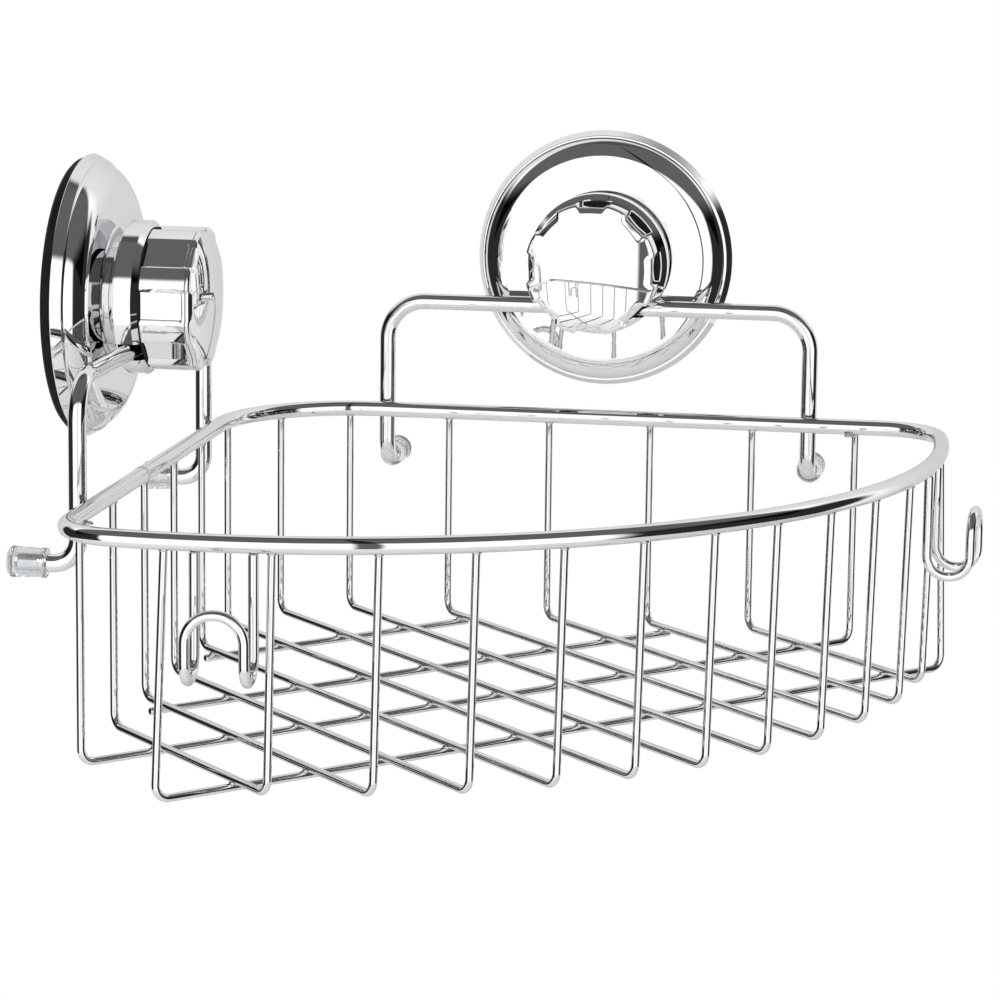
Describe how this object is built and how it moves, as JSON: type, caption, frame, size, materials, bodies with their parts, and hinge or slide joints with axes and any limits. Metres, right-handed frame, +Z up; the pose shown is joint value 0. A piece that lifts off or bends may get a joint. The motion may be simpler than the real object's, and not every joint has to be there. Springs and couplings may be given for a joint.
{
  "type": "shower caddy",
  "caption": "Corner shower caddy: a chromed wire basket with a bowed front and small hooks, hung in a corner from twist-lock suction cups on wire hangers with clear wall bumpers.",
  "frame": {"origin": "centre of the back suction cup, on its flat face against the back wall", "axes": "+Z up, +Y into the back wall, -Y towards the room, -X into the left wall; the basket lies towards -Y"},
  "size_m": [0.2576, 0.2582, 0.1577],
  "materials": {
    "thick_wire": "bright chrome plating on steel wire",
    "thin_wire": "bright chrome plating on steel wire",
    "hook_wire": "bright chrome plating on steel wire",
    "hanger_wire": "bright chrome plating on steel wire",
    "clear_bumper": "clear soft plastic",
    "cup_rubber": "smooth soft rubber",
    "washer_rubber": "satin",
    "stud_steel": "turned and threaded",
    "insert_brass": "turned",
    "cover_plating": "mirror-bright plating on moulded plastic",
    "collar_plating": "mirror-bright plating on moulded plastic",
    "knob_plating": "mirror-bright plating on moulded plastic",
    "cap_plating": "mirror-bright plating on moulded plastic"
  },
  "bodies": {
    "caddy": {"rim_wire": "thick_wire", "basket_wire_1": "thin_wire", "basket_wire_2": "thin_wire", "basket_wire_3": "thin_wire", "basket_wire_4": "thin_wire", "basket_wire_5": "thin_wire", "basket_wire_6": "thin_wire", "basket_wire_7": "thin_wire", "basket_wire_8": "thin_wire", "basket_wire_9": "thin_wire", "basket_wire_10": "thin_wire", "basket_wire_11": "thin_wire", "cross_wire_1": "thin_wire", "cross_wire_2": "thin_wire", "cross_wire_3": "thin_wire", "cross_wire_4": "thin_wire", "front_hook_left": "hook_wire", "front_hook_right": "hook_wire", "back_hanger": "hanger_wire", "left_hanger": "hanger_wire", "back_bumper_inner": "clear_bumper", "back_bumper_outer": "clear_bumper", "left_bumper_inner": "clear_bumper", "left_bumper_outer": "clear_bumper", "back_suction_cup": "cup_rubber", "back_cover": "cover_plating", "back_collar": "collar_plating", "back_washer": "washer_rubber", "left_suction_cup": "cup_rubber", "left_cover": "cover_plating", "left_collar": "collar_plating", "left_washer": "washer_rubber"},
    "back_knob_body": {"back_knob": "knob_plating", "back_knob_insert": "insert_brass", "back_knob_cap": "cap_plating"},
    "back_stud_body": {"back_stud": "stud_steel"},
    "left_knob_body": {"left_knob": "knob_plating", "left_knob_insert": "insert_brass", "left_knob_cap": "cap_plating"},
    "left_stud_body": {"left_stud": "stud_steel"}
  },
  "joints": [
    {"name": "back_knob_turn", "type": "hinge", "parent": "caddy", "child": "back_knob_body", "pos_m": [0, 0, 0], "axis": [0, 1, 0], "range_deg": [0, 360]},
    {"name": "back_stud_pull", "type": "slide", "parent": "caddy", "child": "back_stud_body", "axis": [0, -1, 0], "range_m": [0, 0.0031], "deforming": ["back_suction_cup"]},
    {"name": "left_knob_turn", "type": "hinge", "parent": "caddy", "child": "left_knob_body", "pos_m": [-0.134, -0.134, 0], "axis": [-1, 0, 0], "range_deg": [0, 360]},
    {"name": "left_stud_pull", "type": "slide", "parent": "caddy", "child": "left_stud_body", "axis": [1, 0, 0], "range_m": [0, 0.0031], "deforming": ["left_suction_cup"]}
  ],
  "couplings": [
    {"joint": "back_stud_pull", "follows": "back_knob_turn", "m_per_rad": 0.00047746},
    {"joint": "left_stud_pull", "follows": "left_knob_turn", "m_per_rad": 0.00047746}
  ]
}
